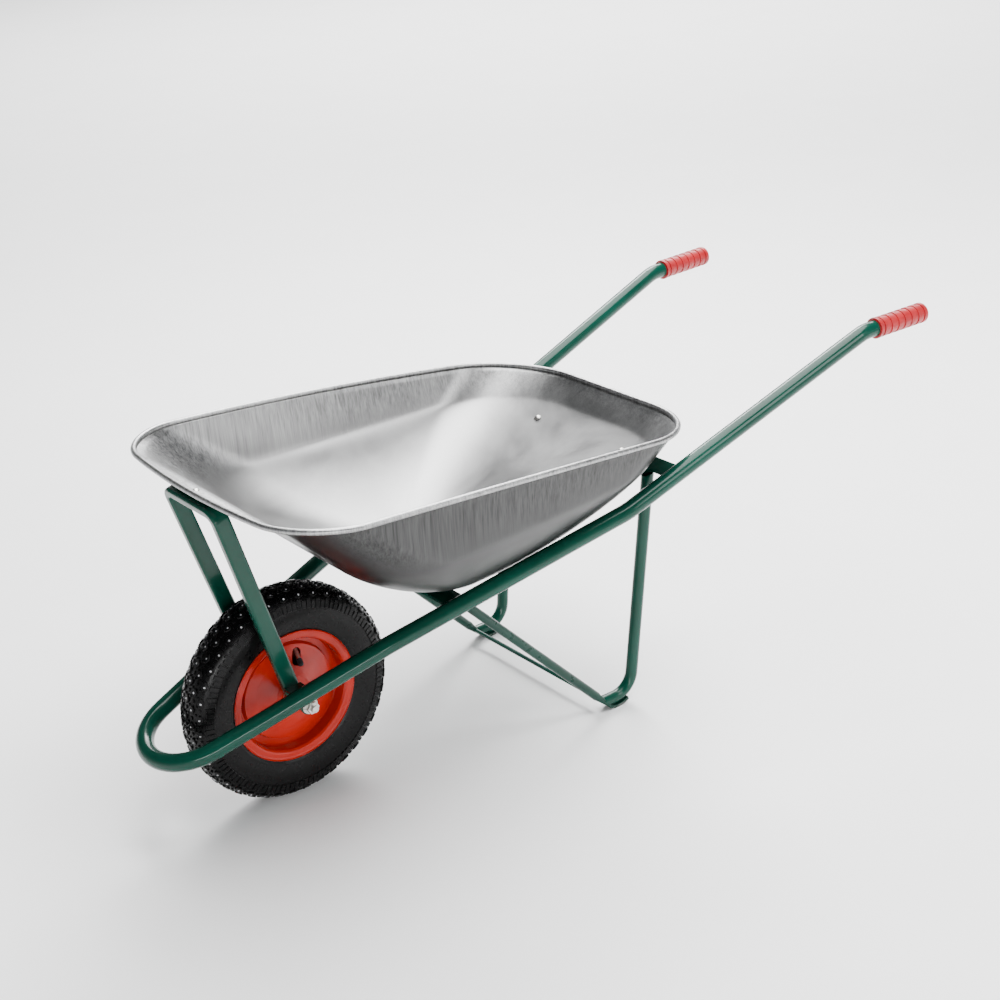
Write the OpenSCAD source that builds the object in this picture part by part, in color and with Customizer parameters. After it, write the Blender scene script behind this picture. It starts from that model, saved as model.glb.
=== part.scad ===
// Single-wheel wheelbarrow: bent-tube frame, pressed tray and pneumatic wheel.
// +X points to the handles, +Y to the user's right, +Z up, ground at z = 0.

/* [Main frame tube] */
// Outer diameter of the main tube
tube_d = 30; // [26:1:34]
// Wall thickness of the main tube
tube_wall = 1.5; // [1:0.1:2.5]
// Radius of the loop that goes round the front of the wheel, at the tube's centre
loop_r = 87.3; // [84:0.1:92]
// Distance from the wheel axle to the bend ahead of the tray
bend_front_x = 114; // [105:1:125]
// Height of that bend
bend_front_z = 287; // [282:1:292]
// Distance from the mid-plane to that bend
bend_front_y = 146; // [143:1:149]
// Distance from the wheel axle to the bend behind the legs
bend_rear_x = 560; // [545:1:575]
// Height of that bend
bend_rear_z = 410.5; // [405:0.5:416]
// Distance from the mid-plane to that bend
bend_rear_y = 235.7; // [232:0.1:240]
// Distance from the wheel axle to the bend at the handles
handle_bend_x = 1107.5; // [1090:0.5:1120]
// Height of that bend
handle_bend_z = 605.5; // [595:0.5:615]
// Distance from the mid-plane to that bend
handle_bend_y = 277.5; // [270:0.5:285]
// Distance from the wheel axle to the end of the handle tube
handle_end_x = 1258; // [1250:1:1265]
// Height of the end of the handle tube
handle_end_z = 608; // [600:1:615]
// Distance from the mid-plane to the end of the handle tube
handle_end_y = 284.5; // [278:0.5:290]

/* [Front strut] */
// Size of the strut's section across the barrow
strut_w = 17; // [15:1:19]
// Size of the strut's section along the barrow
strut_t = 28; // [25:1:30]
// Distance from the mid-plane to a strut leg at the top
strut_top_y = 71; // [66:1:76]
// Distance from the mid-plane to a strut leg at the axle
strut_low_y = 58; // [56:1:60]

/* [Legs and braces] */
// Outer diameter of a leg
leg_d = 22; // [20:1:24]
// Distance from the mid-plane to the foot
foot_y = 185; // [180:1:190]
// Outer diameter of a brace
brace_d = 16; // [14:1:18]
// Diameter of the tie bar between the feet
tie_d = 8; // [6:1:10]

/* [Tray] */
// Thickness of the tray's sheet
sheet = 0.8; // [0.8:0.1:1.2]
// Outer radius of the rolled rim
roll_r = 5; // [4.5:0.1:5.5]
// Half width of the rim at the front
rim_front_w = 295.5; // [285:0.5:300]
// Half width of the rim at the rear
rim_rear_w = 264.5; // [258:0.5:272]
// Height of the rim at the front
rim_front_z = 591; // [585:1:597]
// Height of the rim at the rear
rim_rear_z = 520.5; // [515:0.5:525]
// Height of the tray floor
floor_z = 329; // [327:0.5:333]

/* [Wheel] */
// Outer diameter of the tyre
tyre_d = 380; // [370:1:384]
// Width of the tyre
tyre_w = 75; // [72:1:77]
// Diameter of the rim's flange
flange_d = 231; // [228:1:234]
// Diameter of the axle
axle_d = 12; // [12:0.5:13]
// Radial gap in the ball races
race_gap = 0.05; // [0.03:0.01:0.08]

/* [Grips] */
// Length of a grip
grip_len = 128; // [120:1:132]
// Outer diameter of a grip over its ribs
grip_d = 38; // [36:1:40]

/* [Hidden] */
$fn = 64;

green = [0.02, 0.27, 0.20];
zinc = [0.72, 0.73, 0.74];
red = [0.82, 0.18, 0.13];
rubber = [0.05, 0.05, 0.05];

tube_r = tube_d / 2;
tube_bore_r = tube_r - tube_wall;

// The wheel axle's place in the part's own frame
axle_x = -500.4;
axle_z = tyre_d / 2;

// Distances along the barrow are from the axle and heights from the tyre's lowest point, before
// the barrow is tipped about its axle until its feet stand on the ground.
stand_tilt = 0.81;
function at(x, y, z) = [axle_x + x * cos(stand_tilt) + (z - axle_z) * sin(stand_tilt), y,
                        axle_z - x * sin(stand_tilt) + (z - axle_z) * cos(stand_tilt)];

// ---- main tube path ----
front_bend_r = 150;
rear_bend_r = 150;
handle_bend_r = 80;
beside_x = -100;
beside_y = 103;
beside_z = 218.2;
loop_slope_y = (bend_front_y - beside_y) / (bend_front_x - beside_x);
loop_slope_z = (bend_front_z - beside_z) / (bend_front_x - beside_x);
// Where the two straight stretches beside the wheel would meet
apex_x = beside_x - beside_y / loop_slope_y;
apex_z = beside_z - beside_y / loop_slope_y * loop_slope_z;
half_path = [at(handle_end_x, handle_end_y, handle_end_z),
             at(handle_bend_x, handle_bend_y, handle_bend_z),
             at(bend_rear_x, bend_rear_y, bend_rear_z),
             at(bend_front_x, bend_front_y, bend_front_z)];
function flip(p) = [p[0], -p[1], p[2]];
main_path = [half_path[0], half_path[1], half_path[2], half_path[3], at(apex_x, 0, apex_z),
             flip(half_path[3]), flip(half_path[2]), flip(half_path[1]), flip(half_path[0])];
main_bends = [0, handle_bend_r, rear_bend_r, front_bend_r, loop_r,
              front_bend_r, rear_bend_r, handle_bend_r, 0];

// Point on the right main tube's centre line at a distance x behind the axle, under the tray
function under_tray(x) = half_path[3] + (half_path[2] - half_path[3])
                         * (x - bend_front_x) / (bend_rear_x - bend_front_x);

// ---- bent tubes and bars ----
function unit(v) = v / norm(v);
function turn(a, b, c) = acos(unit(b - a) * unit(c - b));
function trim(a, b, c, r) = r * tan(turn(a, b, c) / 2);
// Point at the end of a bend's trimmed corner, measured from b towards a
function cut_point(a, b, d) = b + unit(a - b) * d;

module from_to(a, b) {
    d = b - a;
    translate(a)
        rotate([0, acos(d[2] / norm(d)), atan2(d[1], d[0])])
            children();
}

module bend(a, b, c, r) {
    s = cut_point(a, b, trim(a, b, c, r));
    o = b + unit(unit(a - b) + unit(c - b)) * r / cos(turn(a, b, c) / 2);
    n = unit(cross(b - a, c - b));
    u = unit(s - o);
    v = cross(n, u);
    multmatrix([[u[0], v[0], n[0], o[0]],
                [u[1], v[1], n[1], o[1]],
                [u[2], v[2], n[2], o[2]],
                [0, 0, 0, 1]])
        rotate_extrude(angle = turn(a, b, c))
            translate([r, 0])
                children();
}

// Straight and bent pieces end a hair apart, and a sleeve inside the wall joins each pair.
seam = 0.01;
sleeve_len = 4;
sleeve_skin = 0.4;

// Tube along a path of corners; ro and ri are the outer and inner radii
module bent_tube(path, bends, ro, ri) {
    last = len(path) - 1;
    for (i = [0:last - 1]) {
        start_cut = i == 0 ? 0 : trim(path[i - 1], path[i], path[i + 1], bends[i]) + seam;
        end_cut = i + 1 == last ? 0 : trim(path[i], path[i + 1], path[i + 2], bends[i + 1]) + seam;
        a = cut_point(path[i + 1], path[i], start_cut);
        b = cut_point(path[i], path[i + 1], end_cut);
        from_to(a, b)
            linear_extrude(norm(b - a))
                ring(ro, ri);
    }
    for (i = [1:last - 1]) {
        cut = trim(path[i - 1], path[i], path[i + 1], bends[i]);
        bend(path[i - 1], path[i], path[i + 1], bends[i])
            ring(ro, ri);
        for (end = [path[i - 1], path[i + 1]])
            from_to(cut_point(end, path[i], cut - sleeve_len / 2), end)
                linear_extrude(sleeve_len)
                    ring(ro - sleeve_skin, ri > 0 ? ri + sleeve_skin : 0);
    }
}

module ring(ro, ri) {
    difference() {
        circle(ro);
        if (ri > 0) circle(ri);
    }
}

// Straight stretches of the main tube on both sides, as solid bars: i counts from the handle
module tube_run(i) {
    for (side = [0, 1])
        mirror([0, side, 0])
            from_to(main_path[i + 1], main_path[i])
                cylinder(h = norm(main_path[i] - main_path[i + 1]), r = tube_r);
}

corner_points = 4;
// Rectangle with rounded corners, centred
module rounded(w, t, r) {
    polygon([for (q = [0:3], i = [0:corner_points])
                let (a = (q + i / corner_points) * 90,
                     sx = q == 0 || q == 3 ? 1 : -1,
                     sy = q < 2 ? 1 : -1)
                [sx * (w / 2 - r) + r * cos(a), sy * (t / 2 - r) + r * sin(a)]]);
}

// ---- frame ----
module frame_tube() {
    color(green)
        bent_tube(main_path, main_bends, tube_r, tube_bore_r);
}

strut_corner_r = 5;
strut_wall = 1.5;
strut_bend_r = 16;
strut_top = at(-122.6, strut_top_y, 574);
strut_low = at(-16.5, strut_low_y, 204);
strut_lean = atan2(strut_top[0] - strut_low[0], strut_top[2] - strut_low[2]);

// Section of the strut: hollow rounded rectangle, wide side along the barrow
module strut_section(skin) {
    difference() {
        rounded(strut_w - 2 * skin, strut_t - 2 * skin, strut_corner_r - skin);
        rounded(strut_w - 2 * strut_wall + 2 * skin, strut_t - 2 * strut_wall + 2 * skin,
                strut_corner_r - strut_wall + skin);
    }
}

// The strut lies in a leaning plane; its path is drawn there as (y, height along the lean)
module front_strut() {
    height = (strut_top[2] - strut_low[2]) / cos(strut_lean);
    path = [[strut_low_y, 0, 0], [strut_top_y, height, 0],
            [-strut_top_y, height, 0], [-strut_low_y, 0, 0]];
    bends = [0, strut_bend_r, strut_bend_r, 0];
    color(green)
        difference() {
            translate([strut_low[0], 0, strut_low[2]])
                rotate([0, strut_lean, 0])
                    rotate([90, 0, 90])
                        flat_bar(path, bends) {
                            strut_section(0);
                            strut_section(sleeve_skin);
                        }
            bolt_hole(front_bolt);
        }
}

// Bar along a path in the xy plane. The first child is its section, with y across the plane,
// and the second is the section of the sleeves that join its pieces.
module flat_bar(path, bends) {
    last = len(path) - 1;
    for (i = [0:last - 1]) {
        start_cut = i == 0 ? 0 : trim(path[i - 1], path[i], path[i + 1], bends[i]) + seam;
        end_cut = i + 1 == last ? 0 : trim(path[i], path[i + 1], path[i + 2], bends[i + 1]) + seam;
        a = cut_point(path[i + 1], path[i], start_cut);
        b = cut_point(path[i], path[i + 1], end_cut);
        flat_run(a, b, norm(b - a))
            children(0);
    }
    for (i = [1:last - 1]) {
        cut = trim(path[i - 1], path[i], path[i + 1], bends[i]);
        bend(path[i - 1], path[i], path[i + 1], bends[i])
            children(0);
        for (end = [path[i - 1], path[i + 1]])
            flat_run(cut_point(end, path[i], cut - sleeve_len / 2), end, sleeve_len)
                children(1);
    }
}

module flat_run(a, b, length) {
    d = b - a;
    translate(a)
        rotate([90, 0, atan2(d[1], d[0]) + 90])
            linear_extrude(length)
                children();
}

// Bracket that carries one end of the axle and joins strut and main tube
bracket_t = 5;
strut_gap = 1.3;
bracket_y = strut_low_y + strut_w / 2 + strut_gap;
bracket_r = 16;
bracket_front = -40;
bracket_rear = -9;
bracket_top_z = 236;
tab_end_y = 122;
axle_hole_gap = 0.1;
module axle_bracket() {
    difference() {
        union() {
            translate([axle_x, bracket_y + bracket_t, axle_z])
                rotate([90, 0, 0])
                    linear_extrude(bracket_t)
                        difference() {
                            union() {
                                circle(bracket_r);
                                polygon([[-bracket_r, 0], [bracket_r, 0],
                                         [bracket_rear, bracket_top_z - axle_z],
                                         [bracket_front, bracket_top_z - axle_z]]);
                            }
                            circle(axle_d / 2 + axle_hole_gap);
                        }
            // Tab out to the main tube, which is cut out of it
            translate([axle_x + bracket_front, bracket_y, bracket_top_z - bracket_t])
                cube([bracket_rear - bracket_front, tab_end_y - bracket_y, bracket_t]);
        }
        tube_run(3);
    }
}

module axle_bracket_left() {
    color(green) mirror([0, 1, 0]) axle_bracket();
}

module axle_bracket_right() {
    color(green) axle_bracket();
}

// ---- legs, braces and cross members ----
leg_r = leg_d / 2;
leg_wall = 1.5;
leg_bend_r = 42;
leg_top = at(650, 192, 448);
leg_corner = at(603, foot_y + 1, 25.5);
leg_end = at(534, foot_y, 25.5);

// Bent leg, cut at the underside of the rear strap and to the shape of the brace
module leg() {
    color(green)
        difference() {
            bent_tube([leg_top, leg_corner, leg_end], [0, leg_bend_r, 0], leg_r, leg_r - leg_wall);
            strap_place()
                translate([-2 * strap_w, 0, -plate_t])
                    cube([4 * strap_w, 2 * foot_y, 2 * strap_w]);
            brace_bar();
            from_to(brace_low, skid_heel)
                translate([0, -leg_d, -leg_d])
                    cube([3 * leg_d, 2 * leg_d, 4 * leg_d]);
        }
}

module leg_left() {
    mirror([0, 1, 0]) leg();
}

module leg_right() {
    leg();
}

brace_top_x = 250;
skid_w = 22;
skid_t = 6;
brace_low = at(522, foot_y, 43);
skid_heel = [axle_x + 549.5, foot_y, skid_t / 2];
skid_toe = [axle_x + 572.5, foot_y, skid_t / 2];
skid_end = [axle_x + 588, foot_y, 9];
skid_bend_r = 24;
toe_bend_r = 20;
brace_wall = 1.5;
// The flattened stretch laps into the tube above it and the skid below it.
lap = 4;

// Round brace, flattened at its lower end into a skid that curls up under the foot
module brace() {
    top = under_tray(brace_top_x);
    color(green) {
        difference() {
            from_to(brace_low, top)
                linear_extrude(norm(top - brace_low))
                    ring(brace_d / 2, brace_d / 2 - brace_wall);
            tube_run(2);
        }
        flattened_stretch();
        skid();
    }
}

module flattened_stretch() {
    hull() {
        from_to(brace_low, under_tray(brace_top_x))
            cylinder(h = lap, r = brace_d / 2 - sleeve_skin, $fn = 32);
        skid_slab();
    }
}

// The brace as a solid bar, to cut its neighbours to its shape
module brace_bar() {
    from_to(brace_low, under_tray(brace_top_x))
        cylinder(h = skid_w, r = brace_d / 2);
    flattened_stretch();
    skid();
}

skid_neck = cut_point(brace_low, skid_heel, 14);
// End of the flattened stretch, inside the skid's straight start
module skid_slab() {
    translate(skid_neck)
        rotate([0, atan2(skid_heel[0] - skid_neck[0], skid_heel[2] - skid_neck[2]), 0])
            translate([-skid_t / 2 + sleeve_skin, -skid_w / 2 + sleeve_skin, -1])
                cube([skid_t - 2 * sleeve_skin, skid_w - 2 * sleeve_skin, 2]);
}

module skid() {
    path = [for (p = [skid_neck, skid_heel, skid_toe, skid_end]) [p[0], p[2], 0]];
    translate([0, foot_y, 0])
        rotate([90, 0, 0])
            flat_bar(path, [0, skid_bend_r, toe_bend_r, 0]) {
                square([skid_t, skid_w], center = true);
                square([skid_t - 2 * sleeve_skin, skid_w - 2 * sleeve_skin], center = true);
            }
}

module brace_left() {
    mirror([0, 1, 0]) brace();
}

module brace_right() {
    brace();
}

tie_x = 531;
tie_z = 33;
module foot_tie_bar() {
    color(green)
        difference() {
            translate(at(tie_x, -foot_y, tie_z))
                rotate([-90, 0, 0])
                    cylinder(h = 2 * foot_y, d = tie_d);
            for (side = [0, 1])
                mirror([0, side, 0]) {
                    brace_bar();
                    translate(at(tie_x, foot_y, tie_z))
                        cube([skid_w, 2 * tie_d, skid_w], center = true);
                }
        }
}

plate_t = 5;
floor_gap = 0.7;
cross_plate_x = 243;
cross_plate_w = 40;
module front_cross_plate() {
    reach = under_tray(cross_plate_x)[1];
    color(green)
        difference() {
            translate(at(cross_plate_x - cross_plate_w / 2, -reach, floor_z - plate_t - floor_gap))
                cube([cross_plate_w, 2 * reach, plate_t]);
            tube_run(2);
        }
}

strap_x = 665;
strap_z = 455;
strap_w = 30;
strap_tilt = 21.2;

// Places children on the strap's top face, with its middle at the origin
module strap_place() {
    translate(at(strap_x, 0, strap_z))
        rotate([0, -strap_tilt, 0])
            children();
}

module rear_cross_strap() {
    reach = bend_rear_y + 5;
    color(green)
        difference() {
            strap_place()
                translate([-strap_w / 2, -reach, -plate_t])
                    cube([strap_w, 2 * reach, plate_t]);
            tube_run(1);
            for (b = rear_bolts)
                bolt_hole(b);
        }
}

// ---- tray ----
// The rim's outline is a trapezoid with round corners, its sides and front slightly bowed.
// An outline is [front x, rear x, front half width, rear half width, front radius,
// rear radius, front z, rear z]; x is from the axle.
rim_line = [-107.5, 744.3, rim_front_w, rim_rear_w, 108.6, 158.3, rim_front_z, rim_rear_z];
shoulder_line = [15, 700, 299, 250, 127, 185, 474, 478];
floor_line = [248, 440, 136, 142, 65, 100, floor_z, floor_z + 9];
side_bow = 12.7;
front_bow = 27.5;
crown = 8;
corner_steps = 9;
side_steps = 8;
end_steps = 6;
// Fullness of the lower tray's section: 1 is a straight slope, 2 a quarter of an ellipse
side_fullness = 1.25;
rear_fullness = 1.02;
lower_steps = 4;
// The front wall is humped over the strut's top bar, at this share of the way down
hump = 18.5;
hump_share = 0.17;

// Outline moved inwards by d and up by dz
function inset(o, d, dz = 0) = [o[0] + d, o[1] - d, o[2] - d, o[3] - d, o[4] - d, o[5] - d,
                                o[6] + dz, o[7] + dz];

function lean(o) = atan((o[2] - o[3]) / (o[1] - o[0]));
// Centre of a corner's arc on the right (+y) side
function corner_mid(o, front) =
    let (r = front ? o[4] : o[5],
         x = front ? o[0] + r : o[1] - r)
    [x, o[2] - (x - o[0]) * tan(lean(o)) - r / cos(lean(o))];
function arc(c, r, from, to) =
    [for (i = [0:corner_steps]) c + r * [cos(from + (to - from) * i / corner_steps),
                                         sin(from + (to - from) * i / corner_steps)]];
function between(a, b, steps) = [for (i = [1:steps - 1]) a + (b - a) * i / steps];

// Plan of an outline, counter-clockwise from above, starting at the front left corner
function plan(o) =
    let (f = corner_mid(o, true),
         r = corner_mid(o, false),
         front_left = arc([f[0], -f[1]], o[4], -180, lean(o) - 90),
         rear_left = arc([r[0], -r[1]], o[5], lean(o) - 90, 0),
         rear_right = arc(r, o[5], 0, 90 - lean(o)),
         front_right = arc(f, o[4], 90 - lean(o), 180),
         n = corner_steps)
    concat(front_left, between(front_left[n], rear_left[0], side_steps),
           rear_left, between(rear_left[n], rear_right[0], end_steps),
           rear_right, between(rear_right[n], front_right[0], side_steps),
           front_right, between(front_right[n], front_left[0], end_steps));

function height(o, x) = o[6] + (o[7] - o[6]) * (x - o[0]) / (o[1] - o[0]);

// Where a plan's point is: -1 at the front to 1 at the rear, and 0 to 1 from middle to side
function along(o, p) = (p[0] - (o[0] + o[1]) / 2) / ((o[1] - o[0]) / 2);
function across(o, p) = abs(p[1]) / (o[2] + (o[3] - o[2]) * (along(o, p) + 1) / 2);
// 1 at the middle of the front, 0 at the sides and behind the middle
function frontness(o, p) =
    along(o, p) < 0 ? max(0, 1 - pow(across(o, p), 2)) * pow(along(o, p), 2) : 0;

// Points of an outline; bow scales the bowed sides, front and crown
function outline(o, bow) =
    [for (p = plan(o))
        let (k = max(0, 1 - pow(along(o, p), 2)),
             dy = sign(p[1]) * side_bow * k * pow(across(o, p), 2))
        at(p[0] - bow * front_bow * frontness(o, p), p[1] + bow * dy,
           height(o, p[0]) + bow * crown * k)];

// One level between the shoulder and the floor; s runs from 0 to 1
function lower_level(top, bottom, s) =
    [for (i = [0:len(top) - 1])
        let (u = along(shoulder_line, plan(shoulder_line)[i]),
             rear = pow(max(0, u), 2),
             power = 2 / (side_fullness + (rear_fullness - side_fullness) * rear),
             inwards = 1 - pow(cos(s * 90), power),
             down = pow(sin(s * 90), power))
        [top[i][0] + (bottom[i][0] - top[i][0]) * inwards,
         top[i][1] + (bottom[i][1] - top[i][1]) * inwards,
         top[i][2] + (bottom[i][2] - top[i][2]) * down]];

// Rings of the sheet's surface from rim to floor, moved inwards by d
function tray_rings(d) =
    let (top_line = inset(rim_line, roll_r + 1.5 + d, 1 - roll_r),
         top_plan = plan(top_line),
         // Where the lip lies flat, the sheet's thickness is upwards.
         rim_ring = outline(top_line, 1),
         top = [for (i = [0:len(rim_ring) - 1])
                  rim_ring[i] + [0, 0, d * frontness(top_line, top_plan[i])]],
         shoulder = outline(inset(shoulder_line, d), 0),
         bottom = outline(inset(floor_line, d, d), 0),
         humped = [for (i = [0:len(top) - 1])
                     top[i] + (shoulder[i] - top[i]) * hump_share
                     + [0, 0, hump * frontness(top_line, top_plan[i])]])
    concat([top, humped], [for (i = [0:lower_steps]) lower_level(shoulder, bottom, i / lower_steps)]);

function reversed(list) = [for (i = [len(list) - 1:-1:0]) list[i]];

// Triangles between ring a and ring b of n points each
function band(a, b, n) =
    [for (j = [0:n - 1])
        let (k = (j + 1) % n)
        each [[a * n + j, a * n + k, b * n + k], [a * n + j, b * n + k, b * n + j]]];
// Point halfway along the floor, on its mid-plane
function floor_centre(ring) = [(ring[0] + ring[floor(len(ring) / 2)])[0] / 2, 0,
                               (ring[0] + ring[floor(len(ring) / 2)])[2] / 2];

module tray_shell() {
    outer = tray_rings(0);
    inner = reversed(tray_rings(sheet));
    n = len(outer[0]);
    levels = len(outer);
    last = 2 * levels * n;
    points = concat([for (r = outer) each r], [for (r = inner) each r],
                    [floor_centre(outer[levels - 1]), floor_centre(inner[0])]);
    walls = [for (i = [0:levels - 2]) each band(i, i + 1, n)];
    linings = [for (i = [levels:2 * levels - 2]) each band(i, i + 1, n)];
    edge = band(2 * levels - 1, 0, n);
    underside = [for (j = [0:n - 1]) [(levels - 1) * n + j, (levels - 1) * n + (j + 1) % n, last]];
    floor_top = [for (j = [0:n - 1]) [levels * n + (j + 1) % n, levels * n + j, last + 1]];
    polyhedron(points, concat(walls, linings, edge, underside, floor_top), convexity = 6);
}

// Closed tube of radius r swept along the rim
module rim_sweep(r, sides) {
    path = outline(inset(rim_line, roll_r), 1);
    n = len(path);
    points = [for (j = [0:n - 1])
                let (t = unit(path[(j + 1) % n] - path[(j + n - 1) % n]),
                     out = unit(cross(t, [0, 0, 1])),
                     up = cross(out, t))
                for (k = [0:sides - 1])
                    path[j] + r * (cos(k * 360 / sides) * out + sin(k * 360 / sides) * up)];
    faces = [for (j = [0:n - 1], k = [0:sides - 1])
                let (a = j * sides, b = (j + 1) % n * sides, m = (k + 1) % sides)
                each [[a + k, a + m, b + m], [a + k, b + m, b + k]]];
    polyhedron(points, faces, convexity = 6);
}

module tray() {
    color(zinc)
        difference() {
            union() {
                tray_shell();
                rim_sweep(roll_r, 10);
            }
            rim_sweep(roll_r - sheet, 10);
            for (b = tray_bolt_list)
                bolt_hole(b);
        }
}

wire_gap = 24;
module rim_wire() {
    color(zinc)
        difference() {
            rim_sweep(roll_r - sheet - 0.5, 6);
            translate(at(-160, -wire_gap / 2, 0))
                cube([60, wire_gap, 700]);
        }
}

// ---- tray fasteners ----
// A bolt is [point under its head, lean towards the rear in degrees, thickness it clamps]
bolt_r = 3;
head_r = 7;
head_h = 4;
nut_h = 5;
nut_r = 5.8;
washer_r = 9;
washer_t = 1.6;
thread_end = 3;
hole_gap = 0.2;
// The front bolt's nut is inside the strut's hollow top bar
front_bolt = [at(-117.5, 0, 587.6), 2.5, 6];
rear_bolt_y = 115;
rear_bolts = [for (side = [-1, 1]) [at(658, side * rear_bolt_y, 459), -strap_tilt, 11.36]];
tray_bolt_list = concat([front_bolt], rear_bolts);

module at_bolt(b) {
    translate(b[0])
        rotate([0, b[1], 0])
            children();
}

function bolt_len(b) = b[2] + washer_t + nut_h + thread_end;

module bolt_hole(b) {
    at_bolt(b)
        translate([0, 0, -bolt_len(b)])
            cylinder(h = bolt_len(b) + head_h, r = bolt_r + hole_gap);
}

module dome(r, h) {
    sphere_r = (r * r + h * h) / (2 * h);
    intersection() {
        translate([0, 0, h - sphere_r])
            sphere(sphere_r);
        cylinder(h = h, r = r);
    }
}

module tray_bolts() {
    color(zinc)
        for (b = tray_bolt_list)
            at_bolt(b) {
                dome(head_r, head_h);
                translate([0, 0, -bolt_len(b)])
                    cylinder(h = bolt_len(b) + head_h / 2, r = bolt_r);
            }
}

module washer(ro, ri, t) {
    linear_extrude(t)
        ring(ro, ri);
}

module tray_washers() {
    color(zinc)
        for (b = rear_bolts)
            at_bolt(b)
                translate([0, 0, -b[2] - washer_t])
                    washer(washer_r, bolt_r + hole_gap, washer_t);
}

module hex_nut(corner_r, bore_r, h) {
    difference() {
        cylinder(h = h, r = corner_r, $fn = 6);
        translate([0, 0, -1])
            cylinder(h = h + 2, r = bore_r);
    }
}

module tray_nuts() {
    color(zinc)
        for (b = tray_bolt_list)
            at_bolt(b)
                translate([0, 0, -b[2] - washer_t - nut_h])
                    hex_nut(nut_r, bolt_r, nut_h);
}

// ---- grips ----
grip_r = grip_d / 2;
rib_count = 6;
rib_w = 9;
rib_depth = 1.4;
mouth_w = 6;
grip_end_t = 5;

module grip() {
    end = half_path[0];
    along = unit(half_path[0] - half_path[1]);
    mouth = end - along * (grip_len - grip_end_t);
    tip = end + along * grip_end_t;
    pitch = (grip_len - mouth_w - 16) / rib_count;
    color(red)
        from_to(mouth, tip)
            difference() {
                union() {
                    cylinder(h = mouth_w, r = grip_r + 0.5);
                    cylinder(h = grip_len - 6, r = grip_r - rib_depth);
                    translate([0, 0, grip_len - 12])
                        cylinder(h = 6, r = grip_r);
                    translate([0, 0, grip_len - 6])
                        rotate_extrude()
                            intersection() {
                                translate([grip_r - 6, 0]) circle(6);
                                square([grip_r, 6]);
                            }
                    cylinder(h = grip_len, r = grip_r - 6);
                    for (i = [0:rib_count - 1])
                        translate([0, 0, mouth_w + 5 + i * pitch])
                            cylinder(h = rib_w, r = grip_r);
                }
                translate([0, 0, -1])
                    cylinder(h = grip_len - grip_end_t + 1, r = tube_r);
            }
}

module grip_left() {
    mirror([0, 1, 0]) grip();
}

module grip_right() {
    grip();
}

// ---- wheel: fixed parts on the axle ----
axle_r = axle_d / 2;
hub_half = 40;
bearing_w = 11;
race_bore_r = axle_r;
race_r = 17.5;
ball_circle_r = 11.9;
ball_r = 3;
ball_count = 8;
axle_nut_h = 10;
axle_washer_t = 2.5;
axle_half = bracket_y + bracket_t + axle_washer_t + axle_nut_h + 6;

// Places children on the axle with their z along the axle, towards the right
module on_axle(y = 0) {
    translate([axle_x, y, axle_z])
        rotate([-90, 0, 0])
            children();
}

module axle_pair(y) {
    for (side = [0, 1])
        mirror([0, side, 0])
            on_axle(y)
                children();
}

module axle() {
    color(zinc)
        on_axle(-axle_half)
            cylinder(h = 2 * axle_half, r = axle_r);
}

module axle_spacers() {
    color(zinc)
        axle_pair(hub_half)
            linear_extrude(bracket_y - hub_half)
                ring(9, axle_r);
}

module axle_washers() {
    color(zinc)
        axle_pair(bracket_y + bracket_t)
            washer(14, axle_r, axle_washer_t);
}

module axle_nuts() {
    color(zinc)
        axle_pair(bracket_y + bracket_t + axle_washer_t)
            hex_nut(11, axle_r, axle_nut_h);
}

module race_groove() {
    rotate_extrude()
        translate([ball_circle_r, bearing_w / 2])
            circle(ball_r + race_gap);
}

module bearing_inner_races() {
    color(zinc)
        axle_pair(hub_half - bearing_w)
            difference() {
                linear_extrude(bearing_w)
                    ring(ball_circle_r - 1.4, race_bore_r);
                race_groove();
            }
}

module bearing_outer_races() {
    color(zinc)
        axle_pair(hub_half - bearing_w)
            difference() {
                linear_extrude(bearing_w)
                    ring(race_r, ball_circle_r + 1.4);
                race_groove();
            }
}

module bearing_balls() {
    color(zinc)
        axle_pair(hub_half - bearing_w / 2)
            for (i = [0:ball_count - 1])
                rotate([0, 0, i * 360 / ball_count])
                    translate([ball_circle_r, 0, 0])
                        sphere(ball_r);
}

// ---- wheel: turning parts ----
hub_r = 20.5;
module hub() {
    color(zinc)
        on_axle()
            difference() {
                translate([0, 0, -hub_half])
                    cylinder(h = 2 * hub_half, r = hub_r);
                translate([0, 0, -hub_half - 1])
                    cylinder(h = 2 * hub_half + 2, r = race_r - 3);
                for (side = [0, 1])
                    mirror([0, 0, side])
                        translate([0, 0, hub_half - bearing_w])
                            cylinder(h = bearing_w + 1, r = race_r);
            }
}

// Left-hand normal of the path at point i, for thickening a path of straight pieces
function side_normal(p, i) =
    let (a = i == 0 ? p[1] - p[0] : p[i] - p[i - 1],
         b = i == len(p) - 1 ? a : p[i + 1] - p[i],
         na = [-a[1], a[0]] / norm(a),
         nb = [-b[1], b[0]] / norm(b))
    (na + nb) / (1 + na * nb);
function thicken(p, t) = concat(p, [for (i = [len(p) - 1:-1:0]) p[i] + t * side_normal(p, i)]);

rim_sheet = 1.6;
flange_r = flange_d / 2;
// Outer side of one pressed rim half: [radius, distance from the mid-plane]
rim_section = [[hub_r, 25], [33, 25], [40, 22], [66, 13.5], [84, 9], [87, rim_sheet],
               [98, rim_sheet], [100, 4], [100, 25], [102.5, 28.6], [105, 29.4], [111, 29.6],
               [114, 30.4], [flange_r, 32]];

module rim_half() {
    on_axle()
        rotate_extrude()
            polygon(thicken(rim_section, -rim_sheet));
}

// Turns the valve's plane into place: x outwards along a radius, z up to the rim's right side
slot_angle = 72;
module valve_plane() {
    translate([axle_x, 0, axle_z])
        rotate([0, -slot_angle, 0])
            rotate([-90, 0, 0])
                children();
}

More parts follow.
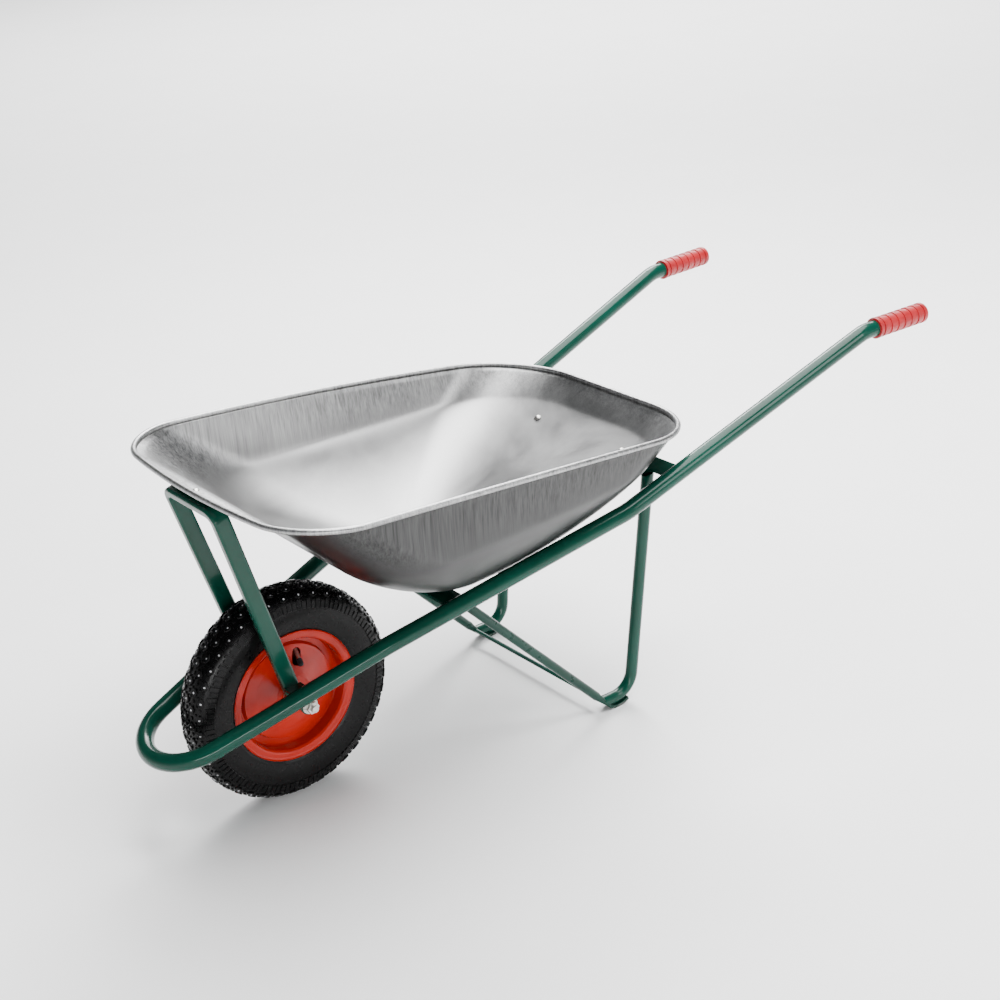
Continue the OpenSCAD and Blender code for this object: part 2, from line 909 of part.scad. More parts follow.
slot_w = 17;
slot_inner = 57;
slot_outer = 69.5;
slot_depth = 40;
module wheel_rim_left() {
    color(red)
        difference() {
            mirror([0, 1, 0])
                rim_half();
            valve_plane()
                translate([0, 0, -slot_depth]) {
                    for (x = [slot_inner, slot_outer])
                        translate([x, 0, 0])
                            cylinder(h = slot_depth - 2, d = slot_w);
                    translate([slot_inner, -slot_w / 2, 0])
                        cube([slot_outer - slot_inner, slot_w, slot_depth - 2]);
                }
        }
}

stem_y = 4.5;
stem_room = 9.4;
module wheel_rim_right() {
    color(red)
        difference() {
            rim_half();
            valve_plane()
                translate([79, -stem_room / 2, -1])
                    cube([27, stem_room, stem_room + 1]);
        }
}

tyre_r = tyre_d / 2;
tyre_wall = 6;
half_w = tyre_w / 2;
// Outside of the tyre from bead to bead: [radius, distance from the mid-plane]
tyre_side = [[101.8, 27], [104, 27.5], [114, 28.2], [118.5, 31], [127, 33.8], [140, 36.6],
             [160, half_w], [171, 35], [179, 30.8], [186.5, 23], [tyre_r, 9]];

// Where the bead rests on the rim, everything beyond the rim's tyre side, with a hair of room
bead_gap = 0.02;
bead_seat = [for (i = [8:len(rim_section) - 1])
                rim_section[i] - (rim_sheet + bead_gap) * side_normal(rim_section, i)];
rim_side = concat(bead_seat, [[bead_seat[len(bead_seat) - 1][0], half_w], [bead_seat[0][0], half_w]]);

module tyre() {
    outside = concat(tyre_side, [for (p = reversed(tyre_side)) [p[0], -p[1]]]);
    color(rubber)
        on_axle()
            rotate_extrude()
                difference() {
                    polygon(thicken(outside, -tyre_wall));
                    for (side = [0, 1])
                        mirror([0, side, 0])
                            polygon(rim_side);
                }
}

module inner_tube() {
    color(rubber)
        on_axle()
            difference() {
                rotate_extrude()
                    tube_shape(0);
                rotate_extrude()
                    tube_shape(2);
            }
}

// Section of the inner tube, shrunk by d
module tube_shape(d) {
    tube_half = 25.5;
    low = 131;
    high = 154;
    for (x = [low, high])
        translate([x, 0])
            circle(tube_half - d);
    translate([low, -tube_half + d])
        square([high - low, 2 * (tube_half - d)]);
}

stem_r = 3.9;
// The stem's path in the valve's plane
stem_path = [[105.3, 0, stem_y], [82, 0, stem_y], [60, 0, -24]];
stem_bend_r = 12;
cap_r = 5;
cap_len = 13;
cap_lap = 2;

module valve_stem() {
    color("goldenrod")
        valve_plane()
            bent_tube(stem_path, [0, stem_bend_r, 0], stem_r, 0);
}

module valve_cap() {
    stem_end = stem_path[2];
    along = unit(stem_path[2] - stem_path[1]);
    color(rubber)
        valve_plane()
            from_to(stem_end - along * cap_lap, stem_end + along * (cap_len - cap_lap))
                difference() {
                    union() {
                        cylinder(h = cap_len - 3, r = cap_r);
                        translate([0, 0, cap_len - 3])
                            dome(cap_r, 3);
                    }
                    translate([0, 0, -1])
                        cylinder(h = cap_lap + 1, r = stem_r);
                }
}

frame_tube();
front_strut();
axle_bracket_left();
axle_bracket_right();
leg_left();
leg_right();
brace_left();
brace_right();
foot_tie_bar();
front_cross_plate();
rear_cross_strap();
tray();
rim_wire();
tray_bolts();
tray_washers();
tray_nuts();
grip_left();
grip_right();
axle();
axle_spacers();
axle_washers();
axle_nuts();
hub();
bearing_outer_races();
bearing_inner_races();
bearing_balls();
wheel_rim_left();
wheel_rim_right();
tyre();
inner_tube();
valve_stem();
valve_cap();
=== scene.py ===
import math

import bmesh
import bpy
from mathutils import Matrix, Vector, noise


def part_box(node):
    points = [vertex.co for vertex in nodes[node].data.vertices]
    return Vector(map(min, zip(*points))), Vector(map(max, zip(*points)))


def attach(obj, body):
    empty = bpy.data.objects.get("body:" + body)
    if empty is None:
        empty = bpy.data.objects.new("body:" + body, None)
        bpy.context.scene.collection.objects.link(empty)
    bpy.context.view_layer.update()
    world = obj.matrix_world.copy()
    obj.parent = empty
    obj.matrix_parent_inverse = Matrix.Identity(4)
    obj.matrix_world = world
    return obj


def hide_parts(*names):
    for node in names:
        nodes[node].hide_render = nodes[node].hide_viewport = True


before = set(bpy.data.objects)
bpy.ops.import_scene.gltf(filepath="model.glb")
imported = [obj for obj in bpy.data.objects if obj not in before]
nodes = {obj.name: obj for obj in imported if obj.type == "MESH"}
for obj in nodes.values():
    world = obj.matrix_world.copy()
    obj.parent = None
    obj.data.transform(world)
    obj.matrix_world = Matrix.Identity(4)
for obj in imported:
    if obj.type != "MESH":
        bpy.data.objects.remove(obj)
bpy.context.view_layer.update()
MM = 0.001


# ---------------------------------------------------------------- materials
class Mat:
    """A node material: mixes of noise drive colour, roughness and bump."""

    def __init__(self, name, **constants):
        self.m = bpy.data.materials.new(name)
        self.m.use_nodes = True
        self.t = self.m.node_tree
        self.bsdf = self.t.nodes["Principled BSDF"]
        for key, value in constants.items():
            self.bsdf.inputs[key.replace("_", " ")].default_value = value
        coord = self.node("ShaderNodeTexCoord")
        self.coord = coord.outputs["Object"]

    def node(self, kind, **props):
        n = self.t.nodes.new(kind)
        for k, v in props.items():
            setattr(n, k, v)
        return n

    def link(self, a, b):
        self.t.links.new(a, b)

    def noise(self, scale, detail=3.0, stretch=(1, 1, 1), rough=0.55, distortion=0.0):
        mapping = self.node("ShaderNodeMapping")
        mapping.inputs["Scale"].default_value = stretch
        self.link(self.coord, mapping.inputs["Vector"])
        n = self.node("ShaderNodeTexNoise")
        n.inputs["Scale"].default_value = scale
        n.inputs["Detail"].default_value = detail
        n.inputs["Roughness"].default_value = rough
        n.inputs["Distortion"].default_value = distortion
        self.link(mapping.outputs["Vector"], n.inputs["Vector"])
        return n.outputs["Fac"]

    def ramp(self, fac, *stops):
        r = self.node("ShaderNodeValToRGB")
        r.color_ramp.elements[0].position = stops[0][0]
        r.color_ramp.elements[1].position = stops[-1][0]
        for pos, _ in stops[1:-1]:
            r.color_ramp.elements.new(pos)
        for e, (pos, c) in zip(r.color_ramp.elements, stops):
            e.position = pos
            e.color = (*c, 1) if isinstance(c, tuple) else (c, c, c, 1)
        self.link(fac, r.inputs["Fac"])
        return r.outputs["Color"]

    def mix(self, fac, a, b, mode="MIX"):
        n = self.node("ShaderNodeMix", data_type="RGBA", blend_type=mode)
        for value, socket in ((fac, n.inputs[0]), (a, n.inputs[6]), (b, n.inputs[7])):
            if isinstance(value, (int, float)):
                socket.default_value = value if socket == n.inputs[0] else (value, value, value, 1)
            elif isinstance(value, tuple):
                socket.default_value = (*value, 1)
            else:
                self.link(value, socket)
        return n.outputs[2]

    def math(self, op, a, b=0.0, clamp=False):
        n = self.node("ShaderNodeMath", operation=op, use_clamp=clamp)
        for i, value in enumerate((a, b)):
            if isinstance(value, (int, float)):
                n.inputs[i].default_value = value
            else:
                self.link(value, n.inputs[i])
        return n.outputs[0]

    def band(self, low, high, axis="Z"):
        """0 below low and 1 above high along an axis, in metres."""
        xyz = self.node("ShaderNodeSeparateXYZ")
        self.link(self.coord, xyz.inputs[0])
        r = self.node("ShaderNodeMapRange")
        r.inputs["From Min"].default_value = low
        r.inputs["From Max"].default_value = high
        self.link(xyz.outputs[axis], r.inputs["Value"])
        return r.outputs[0]

    def base(self, color):
        self.link(color, self.bsdf.inputs["Base Color"])

    def rough(self, value):
        self.link(value, self.bsdf.inputs["Roughness"])

    def metal(self, value):
        self.link(value, self.bsdf.inputs["Metallic"])

    def bump(self, height, strength, distance):
        b = self.node("ShaderNodeBump")
        b.inputs["Strength"].default_value = strength
        b.inputs["Distance"].default_value = distance
        self.link(height, b.inputs["Height"])
        self.link(b.outputs["Normal"], self.bsdf.inputs["Normal"])


def green_paint():
    m = Mat("green_paint", Specular_IOR_Level=0.15, Coat_Weight=0.2, Coat_Roughness=0.06)
    cloud = m.noise(9, 4)
    m.base(m.ramp(cloud, (0.3, (0.0005, 0.034, 0.021)), (0.7, (0.001, 0.048, 0.031))))
    m.rough(m.ramp(m.noise(60, 4), (0.3, 0.16), (0.75, 0.28)))
    m.bump(m.noise(420, 2), 0.05, 0.0004)
    return m.m


def worn_green():
    """Green paint, rubbed to bare steel where the skids touch the ground."""
    m = Mat("worn_green", Specular_IOR_Level=0.2, Coat_Weight=0.08, Coat_Roughness=0.1)
    cloud = m.noise(9, 4)
    green = m.ramp(cloud, (0.3, (0.0006, 0.022, 0.014)), (0.7, (0.001, 0.034, 0.022)))
    low = m.math("SUBTRACT", 1.0, m.band(0.0005, 0.006))
    chips = m.ramp(m.noise(180, 5), (0.42, 0.0), (0.55, 1.0))
    worn = m.math("MULTIPLY", low, chips, True)
    m.base(m.mix(worn, green, (0.2, 0.19, 0.18)))
    m.metal(worn)
    m.rough(m.ramp(m.noise(60, 4), (0.3, 0.24), (0.75, 0.4)))
    m.bump(m.noise(300, 3), 0.06, 0.0004)
    return m.m


def galvanised(name, level):
    """Rolled galvanised sheet: upright streaks on the upper walls, soft clouds lower down."""
    m = Mat(name, Metallic=1.0)
    streak = m.noise(150, 3, (1, 1, 0.035), 0.6)
    fine = m.noise(420, 2, (1, 1, 0.02), 0.6)
    cloud = m.noise(7, 5, rough=0.6, distortion=0.6)
    upper = m.band(0.46, 0.52)
    both = m.math("MULTIPLY", m.math("ADD", streak, fine), 0.5)
    tone = m.ramp(both, (0.34, 0.22 * level), (0.5, 0.60 * level), (0.66, level))
    plain = m.ramp(cloud, (0.3, 0.55 * level), (0.7, 0.80 * level))
    m.base(m.mix(m.math("MULTIPLY", upper, 0.7), plain, tone))
    r1 = m.ramp(cloud, (0.3, 0.30), (0.7, 0.44))
    r2 = m.ramp(both, (0.35, 0.28), (0.65, 0.5))
    m.rough(m.mix(m.math("MULTIPLY", upper, 0.6), r1, r2))
    m.bump(both, 0.05, 0.0006)
    return m.m


def zinc():
    m = Mat("zinc", Metallic=1.0)
    m.base(m.ramp(m.noise(120, 4), (0.3, (0.42, 0.41, 0.38)), (0.7, (0.66, 0.65, 0.62))))
    m.rough(m.ramp(m.noise(260, 3), (0.3, 0.24), (0.7, 0.46)))
    m.bump(m.noise(700, 2), 0.05, 0.0002)
    return m.m


def steel():
    m = Mat("bearing_steel", Metallic=1.0)
    m.base(m.ramp(m.noise(90, 3), (0.3, 0.45), (0.7, 0.6)))
    m.rough(m.ramp(m.noise(200, 3), (0.3, 0.15), (0.7, 0.3)))
    return m.m


def red_paint():
    m = Mat("red_paint", Specular_IOR_Level=0.2, Coat_Weight=0.12, Coat_Roughness=0.05)
    m.base(m.ramp(m.noise(11, 4), (0.3, (0.30, 0.008, 0.003)), (0.7, (0.40, 0.013, 0.005))))
    m.rough(m.ramp(m.noise(160, 3), (0.3, 0.2), (0.75, 0.27)))
    m.bump(m.noise(420, 2), 0.03, 0.0003)
    return m.m


def grip_plastic():
    m = Mat("red_grip", Subsurface_Weight=0.05)
    m.base(m.ramp(m.noise(30, 4), (0.3, (0.27, 0.005, 0.009)), (0.7, (0.38, 0.010, 0.015))))
    m.rough(m.ramp(m.noise(140, 4), (0.3, 0.32), (0.7, 0.5)))
    m.bump(m.noise(900, 2), 0.16, 0.0003)
    return m.m


def tyre_rubber(name, low, high, rough_low, rough_high):
    m = Mat(name, Specular_IOR_Level=0.16)
    # This noise varies the rubber's own dusty tone; on the pale pip copy it varies a painted
    # glint.
    dust_and_glint = m.noise(14, 5, rough=0.65)
    m.base(m.ramp(dust_and_glint, (0.35, (low, low, low * 1.02)), (0.75, (high, high, high * 1.04))))
    m.rough(m.ramp(m.noise(110, 4), (0.3, rough_low), (0.7, rough_high)))
    m.bump(m.noise(520, 3), 0.12, 0.0004)
    return m.m


GREEN, WORN, ZINC = green_paint(), worn_green(), zinc()
# The outside copy of the galvanised sheet is darkened to level 0.09: painted shade, standing in
# for the dim reflection of the ground under the tray.
GALV, GALV_OUTSIDE_PAINTED_SHADE = galvanised("galvanised", 0.52), galvanised("galvanised_outside_painted_shade", 0.09)
STEEL, RED, GRIP = steel(), red_paint(), grip_plastic()
TYRE = tyre_rubber("tyre_rubber", 0.001, 0.003, 0.24, 0.36)
TREAD = tyre_rubber("tread_rubber", 0.0008, 0.003, 0.22, 0.4)
# Pale copy of the rubber for the knobs' pips: painted glints, not a real colour of the tyre.
TIPS_PAINTED_GLINT = tyre_rubber("tread_painted_glint", 0.25, 0.8, 0.3, 0.5)
TUBE = tyre_rubber("tube_rubber", 0.012, 0.024, 0.5, 0.7)

FINISH = {
    "frame_tube": GREEN, "front_strut": GREEN, "axle_bracket_left": GREEN,
    "axle_bracket_right": GREEN, "leg_left": GREEN, "leg_right": GREEN, "brace_left": WORN,
    "brace_right": WORN, "foot_tie_bar": GREEN, "front_cross_plate": GREEN,
    "rear_cross_strap": GREEN, "tray": GALV, "rim_wire": GALV, "tray_bolts": ZINC,
    "tray_washers": ZINC, "tray_nuts": ZINC, "grip_left": GRIP, "grip_right": GRIP,
    "axle": ZINC, "axle_spacers": ZINC, "axle_washers": ZINC, "axle_nuts": ZINC, "hub": ZINC,
    "bearing_outer_races": STEEL, "bearing_inner_races": STEEL, "bearing_balls": STEEL,
    "wheel_rim_left": RED, "wheel_rim_right": RED, "tyre": TYRE, "inner_tube": TUBE,
    "valve_stem": ZINC, "valve_cap": TUBE,
}
for name, finish in FINISH.items():
    data = nodes[name].data
    data.materials.clear()
    data.materials.append(finish)


# ---------------------------------------------------------------- mesh helpers
def make(name, verts, faces, material, body, smooth=True):
    """A mesh piece from points in millimetres, riding on a body."""
    data = bpy.data.meshes.new(name)
    data.from_pydata([Vector(v) * MM for v in verts], [], faces)
    bm = bmesh.new()
    bm.from_mesh(data)
    bmesh.ops.remove_doubles(bm, verts=bm.verts, dist=1e-7)
    bmesh.ops.recalc_face_normals(bm, faces=bm.faces)
    bm.to_mesh(data)
    bm.free()
    data.polygons.foreach_set("use_smooth", [smooth] * len(data.polygons))
    data.materials.append(material)
    piece = bpy.data.objects.new(name, data)
    bpy.context.scene.collection.objects.link(piece)
    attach(piece, body)
    return piece


def ring_faces(rows, n, closed_rows=False, base=0):
    """Quads between rows of n points each; each row is a closed ring."""
    faces = []
    for i in range(rows if closed_rows else rows - 1):
        a, b = base + i * n, base + (i + 1) % rows * n
        for j in range(n):
            k = (j + 1) % n
            faces.append((a + j, a + k, b + k, b + j))
    return faces


def smooth_line(points, passes):
    """Rounds the corners of an open line and keeps its ends."""
    pts = [Vector(p) for p in points]
    for _ in range(passes):
        pts = [pts[0]] + [(pts[i - 1] + 2 * pts[i] + pts[i + 1]) / 4
                          for i in range(1, len(pts) - 1)] + [pts[-1]]
    return pts


# ---------------------------------------------------------------- tray
# Millimetres; x is from the wheel's axle, as in the CAD source.
AXLE_X = (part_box("axle")[0].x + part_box("axle")[1].x) / 2 / MM
AXLE_Z = (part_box("axle")[0].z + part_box("axle")[1].z) / 2 / MM
# [front x, rear x, front half width, rear half width, front radius, rear radius, front z, rear z]
RIM_LINE = (-107.5, 744.3, 295.5, 264.5, 108.6, 158.3, 591, 520.5)
SHOULDER = (15, 700, 299, 250, 127, 185, 474, 478)
FLOOR = (248, 440, 136, 142, 65, 100, 329, 338)
SIDE_BOW, FRONT_BOW, CROWN = 12.7, 27.5, 8
# The front lip's rise, and the share of the way to the shoulder where it is highest
HUMP, HUMP_SHARE = 18.5, 0.17
# How full the wall's curve is at the sides, and how much less at the rear
SIDE_FULLNESS, REAR_LOSS = 1.25, 0.23
ROLL_R = 5.0
ROLL_SIDES = 18
SHEET = 0.8
SKIN_LIFT = 0.7
# The barrow is tipped about its axle until its feet stand on the ground.
STAND_TILT = math.radians(0.81)
CORNER, SIDE, END = 26, 36, 26
LIP_STEPS, UPPER_STEPS, WALL_STEPS, FLOOR_STEPS = 6, 14, 22, 8


def tip(p):
    x, z = p[0] - AXLE_X, p[2] - AXLE_Z
    c, s = math.cos(STAND_TILT), math.sin(STAND_TILT)
    return Vector((AXLE_X + x * c + z * s, p[1], AXLE_Z - x * s + z * c))


def inset(o, d, dz=0.0):
    return (o[0] + d, o[1] - d, o[2] - d, o[3] - d, o[4] - d, o[5] - d, o[6] + dz, o[7] + dz)


def plan(o):
    tilt = math.atan((o[2] - o[3]) / (o[1] - o[0]))

    def centre(front):
        r = o[4] if front else o[5]
        x = o[0] + r if front else o[1] - r
        return x, o[2] - (x - o[0]) * math.tan(tilt) - r / math.cos(tilt)

    def arc(c, side, r, start, stop):
        return [Vector((c[0] + r * math.cos(start + (stop - start) * i / CORNER),
                        side * c[1] + r * math.sin(start + (stop - start) * i / CORNER)))
                for i in range(CORNER + 1)]

    def between(a, b, steps):
        return [a.lerp(b, i / steps) for i in range(1, steps)]

    f, r, q = centre(True), centre(False), math.pi / 2
    fl = arc(f, -1, o[4], -2 * q, tilt - q)
    rl = arc(r, -1, o[5], tilt - q, 0)
    rr = arc(r, 1, o[5], 0, q - tilt)
    fr = arc(f, 1, o[4], q - tilt, 2 * q)
    return (fl + between(fl[-1], rl[0], SIDE) + rl + between(rl[-1], rr[0], END)
            + rr + between(rr[-1], fr[0], SIDE) + fr + between(fr[-1], fl[0], END))


def along(o, p):
    return (p[0] - (o[0] + o[1]) / 2) / ((o[1] - o[0]) / 2)


def across(o, p):
    return abs(p[1]) / (o[2] + (o[3] - o[2]) * (along(o, p) + 1) / 2)


def frontness(o, p):
    u = along(o, p)
    return max(0.0, 1 - across(o, p) ** 2) * u * u if u < 0 else 0.0


def outline(o, bow):
    points = []
    for p in plan(o):
        k = max(0.0, 1 - along(o, p) ** 2)
        dy = math.copysign(SIDE_BOW * k * across(o, p) ** 2, p[1])
        z = o[6] + (o[7] - o[6]) * (p[0] - o[0]) / (o[1] - o[0])
        points.append(Vector((AXLE_X + p[0] - bow * FRONT_BOW * frontness(o, p),
                              p[1] + bow * dy, z + bow * CROWN * k)))
    return points


def tray_columns():
    """One line from rim to floor centre for each point of the outline."""
    top_line = inset(RIM_LINE, ROLL_R + 1.5, 1 - ROLL_R)
    top, top_plan = outline(top_line, 1), plan(top_line)
    shoulder, shoulder_plan = outline(SHOULDER, 0), plan(SHOULDER)
    bottom = outline(FLOOR, 0)
    middle = Vector((AXLE_X + (FLOOR[0] + FLOOR[1]) / 2, 0, (FLOOR[6] + FLOOR[7]) / 2))
    shares = [HUMP_SHARE * k / LIP_STEPS for k in range(LIP_STEPS)]
    shares += [HUMP_SHARE + (1 - HUMP_SHARE) * k / UPPER_STEPS for k in range(UPPER_STEPS + 1)]
    columns = []
    for i, start in enumerate(top):
        hump = HUMP * frontness(top_line, top_plan[i])
        line = []
        for t in shares:
            lift = hump * min(t / HUMP_SHARE, (1 - t) / (1 - HUMP_SHARE))
            line.append(start.lerp(shoulder[i], t) + Vector((0, 0, lift)))
        u = max(0.0, along(SHOULDER, shoulder_plan[i]))
        power = 2 / (SIDE_FULLNESS - REAR_LOSS * u * u)
        for k in range(1, WALL_STEPS + 1):
            a = k / WALL_STEPS * math.pi / 2
            inwards = 1 - max(0.0, math.cos(a)) ** power
            down = math.sin(a) ** power
            p = shoulder[i].lerp(bottom[i], inwards)
            p.z = shoulder[i].z + (bottom[i].z - shoulder[i].z) * down
            line.append(p)
        line += [bottom[i].lerp(middle, k / FLOOR_STEPS) for k in range(1, FLOOR_STEPS)]
        columns.append(smooth_line(line, 3))
    return columns, middle


def wobble(p):
    """The slight waviness of pressed sheet, in millimetres."""
    return (0.55 * noise.noise(p / 130) + 0.16 * noise.noise(p / 38 + Vector((9, 4, 2))))


def build_tray():
    columns, middle = tray_columns()
    columns, middle = [[tip(p) for p in line] for line in columns], tip(middle)
    n, rows = len(columns), len(columns[0])
    skin = [columns[j][i] for i in range(rows) for j in range(n)]
    faces = ring_faces(rows, n)
    last = (rows - 1) * n
    skin.append(middle)
    faces += [(last + j, last + (j + 1) % n, len(skin) - 1) for j in range(n)]
    data = bpy.data.meshes.new("tmp")
    data.from_pydata(skin, [], faces)
    data.update()
    inward = [v.normal.copy() for v in data.vertices]
    if inward[-1].z < 0:
        inward = [-v for v in inward]
    bpy.data.meshes.remove(data)
    outer, inner = [], []
    for i, (p, d) in enumerate(zip(skin, inward)):
        row = i // n
        ease = min(1.0, row / 4)
        shift = (SKIN_LIFT + wobble(p)) * ease
        outer.append(p + d * shift)
        inner.append(p + d * (shift + SHEET))
    count = len(skin)
    verts = outer + inner
    both = [tuple(reversed(f)) for f in faces]
    both += [tuple(i + count for i in f) for f in faces]
    both += [(j, (j + 1) % n, count + (j + 1) % n, count + j) for j in range(n)]
    path = [tip(p) for p in outline(inset(RIM_LINE, ROLL_R), 1)]
    sides = ROLL_SIDES
    base = len(verts)
    for j in range(n):
        t = (path[(j + 1) % n] - path[j - 1]).normalized()
        out = t.cross(Vector((0, 0, 1))).normalized()
        up = out.cross(t)
        for k in range(sides):
            a = 2 * math.pi * k / sides
            verts.append(path[j] + ROLL_R * (math.cos(a) * out + math.sin(a) * up))
    both += [(base + j * sides + k, base + j * sides + (k + 1) % sides,
              base + (j + 1) % n * sides + (k + 1) % sides, base + (j + 1) % n * sides + k)
             for j in range(n) for k in range(sides)]
    tray = make("tray_pressing", verts, both, GALV, "frame")
    # The outer skin takes the darker galvanised copy: painted shade.
    tray.data.materials.append(GALV_OUTSIDE_PAINTED_SHADE)
    for face in tray.data.polygons:
        if face.index < len(faces):
            face.material_index = 1
    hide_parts("tray")
    return tray


build_tray()


# ---------------------------------------------------------------- wheel
def wheel_point(r, y, angle):
    """A point of the wheel from its radius, distance across and angle up from +X."""
    return Vector((AXLE_X + r * math.cos(angle), y, AXLE_Z + r * math.sin(angle)))


def spline(points, steps):
    """Catmull-Rom curve through points."""
    pts = [Vector(p) for p in points]
    pts = [2 * pts[0] - pts[1]] + pts + [2 * pts[-1] - pts[-2]]
    out = []
    for i in range(1, len(pts) - 2):
        a, b, c, d = pts[i - 1:i + 3]
        for k in range(steps):
            t = k / steps
            out.append(0.5 * ((2 * b) + (c - a) * t + (2 * a - 5 * b + 4 * c - d) * t * t
                              + (3 * b - a - 3 * c + d) * t ** 3))
    out.append(pts[-2])
    return out


# Half of the tyre's outside, [radius, distance across], below the tread blocks
CARCASS = [(113, 27.9), (118.5, 30.8), (127, 33.6), (140, 36.2), (152, 37.1), (162, 36.3),
           (170.5, 33.6), (177.5, 28.8), (182.5, 21.5), (185.4, 13), (186.3, 5), (186.5, 0)]


# Knobs round one row, rows' distance across the tread, and paired shoulder lugs on each side
KNOBS, ROW_PITCH, LUGS = 40, 15, 56
LUG_HALF_W = 3.5


def carcass_line():
    half = spline(CARCASS, 5)
    return half + [Vector((p.x, -p.y)) for p in reversed(half[:-1])]


def build_tyre():
    line = carcass_line()
    rings = []
    for p in line:
        r, y = p.x, p.y
        # two fine raised rings low on the shoulder and one by the bead
        if r < 175:
            for ring_r, h, w in ((158.5, 0.7, 1.1), (154.0, 0.5, 0.9), (121.5, 0.6, 1.2)):
                y += math.copysign(h * math.exp(-((r - ring_r) / w) ** 2), y)
        rings.append((r, y))
    inner = [(107, -22.5), (128, -27.5), (152, -30.5), (172, -24), (179, 0), (172, 24),
             (152, 30.5), (128, 27.5), (107, 22.5)]
    section = ([(104, 27.4)] + rings + [(104, -27.4), (101.8, -27.0), (101.8, -22.0)] + inner
               + [(101.8, 22.0), (101.8, 27.0)])
    steps = 240
    verts = [wheel_point(r, y, 2 * math.pi * i / steps) for i in range(steps) for r, y in section]
    faces = ring_faces(steps, len(section), closed_rows=True)
    tyre = make("tyre_carcass", verts, faces, TYRE, "wheel")
    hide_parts("tyre")


def surface_at(line, lengths, s):
    """Point and outward normal (radius, across) at arc length s from the middle of the tread."""
    half = lengths[-1] / 2
    want = half - s
    for i in range(1, len(line)):
        if lengths[i] >= want:
            t = (want - lengths[i - 1]) / (lengths[i] - lengths[i - 1])
            p = line[i - 1].lerp(line[i], t)
            d = (line[i] - line[i - 1]).normalized()
            return p, Vector((-d.y, d.x))
    return line[-1], Vector((0, 1))


def build_tread():
    line = carcass_line()
    lengths = [0.0]
    for i in range(1, len(line)):
        lengths.append(lengths[-1] + (line[i] - line[i - 1]).length)
    verts, faces, glint_faces = [], [], set()

    def block(s, angle, shape, height, sink=1.2, taper=0.8):
        """A closed block on the carcass; shape is its outline as (around, across) in mm."""
        base = len(verts)
        n = len(shape)
        for level, scale in ((-sink, 1.0), (height * 0.75, (1 + taper) / 2), (height, taper)):
            for a, c in shape:
                p, normal = surface_at(line, lengths, s + c * scale)
                if normal.x < 0:
                    normal = -normal
                q = p + normal * level
                verts.append(wheel_point(q.x, q.y, angle + a * scale / p.x))
        for row in range(2):
            for j in range(n):
                k = (j + 1) % n
                faces.append((base + row * n + j, base + row * n + k,
                              base + (row + 1) * n + k, base + (row + 1) * n + j))
        faces.append(tuple(base + 2 * n + j for j in range(n)))
        faces.append(tuple(base + j for j in reversed(range(n))))

    def octagon(a, c, cut=0.45):
        return [(a, -c * cut), (a, c * cut), (a * cut, c), (-a * cut, c), (-a, c * cut),
                (-a, -c * cut), (-a * cut, -c), (a * cut, -c)]

    for row in range(-2, 3):
        for i in range(KNOBS):
            turn = 2 * math.pi * (i + 0.5 * (row % 2)) / KNOBS
            block(row * ROW_PITCH, turn, octagon(8.2, 5.4, 0.3), 3.2)
            # The pip on each large knob gets the pale material: a painted glint.
            first = len(faces)
            block(row * ROW_PITCH, turn, octagon(2.0, 2.0, 0.6), 3.4, sink=0, taper=0.6)
            glint_faces.update(range(first, len(faces)))
            small = turn + math.pi / KNOBS
            block(row * ROW_PITCH, small, octagon(3.6, 2.6, 0.5), 2.2)
            if row < 2:
                for part in (0.25, 0.75):
                    between = turn + 2 * math.pi * part / KNOBS
                    block((row + 0.5) * ROW_PITCH, between, octagon(2.4, 2.0, 0.5), 2.6)
    for side in (-1, 1):
        for i in range(LUGS):
            turn = 2 * math.pi * i / LUGS
            for offset, top, bottom in ((-4.9, 37.0, 53.5), (4.9, 40.0, 53.5)):
                mid, half = (top + bottom) / 2, (bottom - top) / 2
                shape = [(offset + LUG_HALF_W, -half), (offset + LUG_HALF_W, half),
                         (offset - LUG_HALF_W, half), (offset - LUG_HALF_W, -half)]
                block(side * mid, turn, shape, 2.0, taper=0.86)
    tread = make("tyre_tread", verts, faces, TREAD, "wheel", smooth=False)
    # Pip faces take the pale rubber: painted glints.
    tread.data.materials.append(TIPS_PAINTED_GLINT)
    for face in tread.data.polygons:
        if face.index in glint_faces:
            face.material_index = 1


build_tyre()
build_tread()

# ---------------------------------------------------------------- stage, light and camera
floor_mat = Mat("floor")
floor_mat.base(floor_mat.ramp(floor_mat.noise(3, 2), (0.3, 0.93), (0.7, 0.95)))
floor_mat.rough(floor_mat.ramp(floor_mat.noise(20, 2), (0.3, 0.7), (0.7, 0.8)))
bpy.ops.mesh.primitive_plane_add(size=60, location=(0, 0, 0))
ground = bpy.context.object
ground.name = "ground"
ground.data.materials.append(floor_mat.m)

world = bpy.data.worlds.new("world")
bpy.context.scene.world = world
world.use_nodes = True
background = world.node_tree.nodes["Background"]
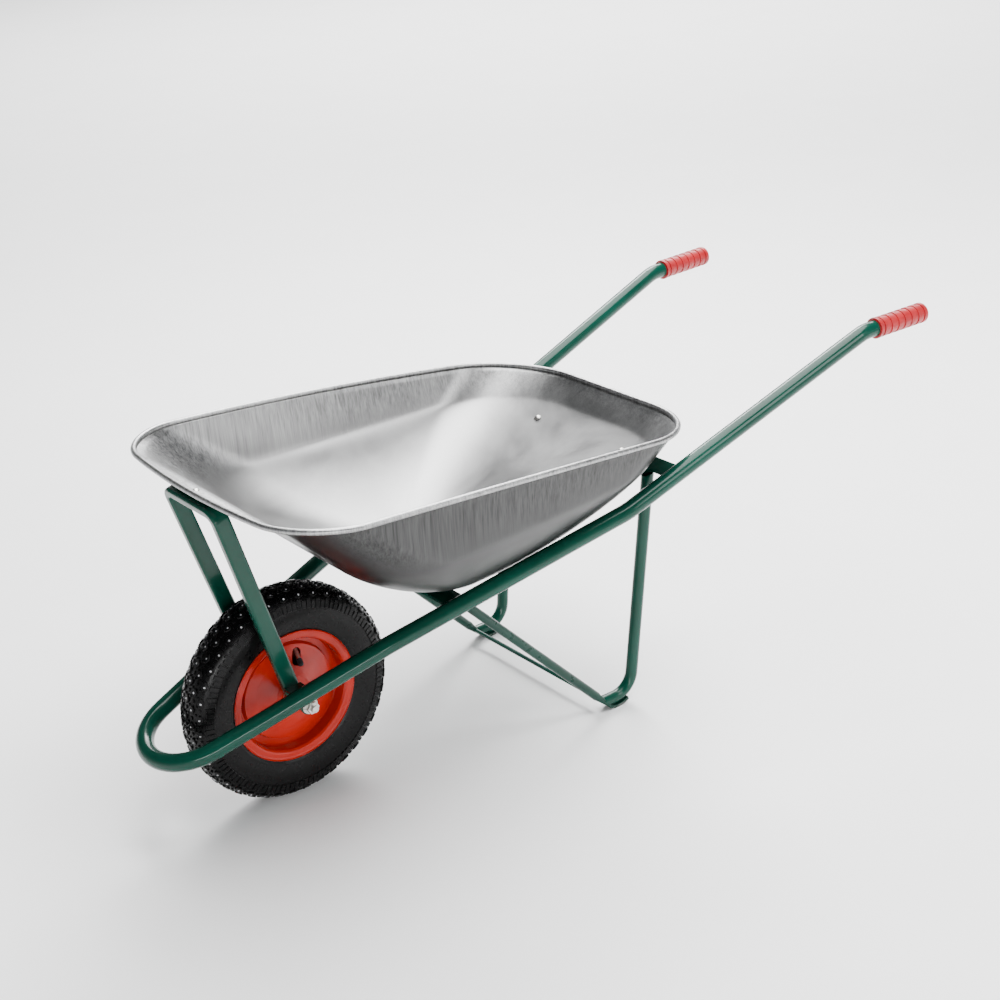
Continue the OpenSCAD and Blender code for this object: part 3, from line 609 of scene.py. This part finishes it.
# Bright along the horizon, dim overhead
direction = world.node_tree.nodes.new("ShaderNodeTexCoord")
split = world.node_tree.nodes.new("ShaderNodeSeparateXYZ")
sky = world.node_tree.nodes.new("ShaderNodeValToRGB")
world.node_tree.links.new(direction.outputs["Generated"], split.inputs[0])
world.node_tree.links.new(split.outputs["Z"], sky.inputs["Fac"])
world.node_tree.links.new(sky.outputs["Color"], background.inputs["Color"])
sky.color_ramp.elements[0].position = 0.06
sky.color_ramp.elements[0].color = (1.4, 1.43, 1.46, 1)
sky.color_ramp.elements[1].position = 0.24
sky.color_ramp.elements[1].color = (0.12, 0.124, 0.13, 1)


def area_light(name, place, target, size, power, color=(1, 1, 1)):
    data = bpy.data.lights.new(name, "AREA")
    data.shape = "RECTANGLE"
    data.size, data.size_y = size
    data.energy = power
    data.color = color
    lamp = bpy.data.objects.new(name, data)
    bpy.context.scene.collection.objects.link(lamp)
    lamp.location = place
    lamp.rotation_euler = (Vector(target) - Vector(place)).to_track_quat("-Z", "Y").to_euler()
    return lamp


area_light("overhead", (0.9, -0.2, 4.0), (0.5, 0, 0), (4.0, 3.0), 480)
area_light("backdrop", (5.5, 6.0, 5.5), (5.5, 6.0, 0), (7.0, 6.0), 1700)
area_light("key", (1.6, 1.9, 2.6), (-0.2, 0, 0.4), (1.4, 0.9), 80)
area_light("fill", (1.5, -3.4, 1.9), (0, 0, 0.35), (1.2, 1.6), 60)
area_light("strip", (-2.0, -3.3, 0.75), (0, 0, 0.35), (3.4, 0.14), 75)

camera_data = bpy.data.cameras.new("camera")
camera = bpy.data.objects.new("camera", camera_data)
bpy.context.scene.collection.objects.link(camera)
bpy.context.scene.camera = camera
camera_data.sensor_width = 36
camera_data.lens = 61.864
azimuth, elevation, roll = (math.radians(a) for a in (-37.605, 23.889, -3.031))
target, distance = Vector((0.47084, 0, 0.38598)), 3.04674
back = Vector((math.sin(azimuth) * math.cos(elevation),
               -math.cos(azimuth) * math.cos(elevation), math.sin(elevation)))
right = (-back).cross(Vector((0, 0, 1))).normalized()
up = back.cross(right)
right, up = (right * math.cos(roll) + up * math.sin(roll),
             up * math.cos(roll) - right * math.sin(roll))
place = target + back * distance
axle = Vector((0, 0, AXLE_Z * MM))
camera.matrix_world = (
    Matrix.Translation((AXLE_X * MM, 0, AXLE_Z * MM)) @ Matrix.Rotation(STAND_TILT, 4, "Y")
    @ Matrix.Translation(-axle)
    @ Matrix(((right.x, up.x, back.x, place.x), (right.y, up.y, back.y, place.y),
              (right.z, up.z, back.z, place.z), (0, 0, 0, 1))))
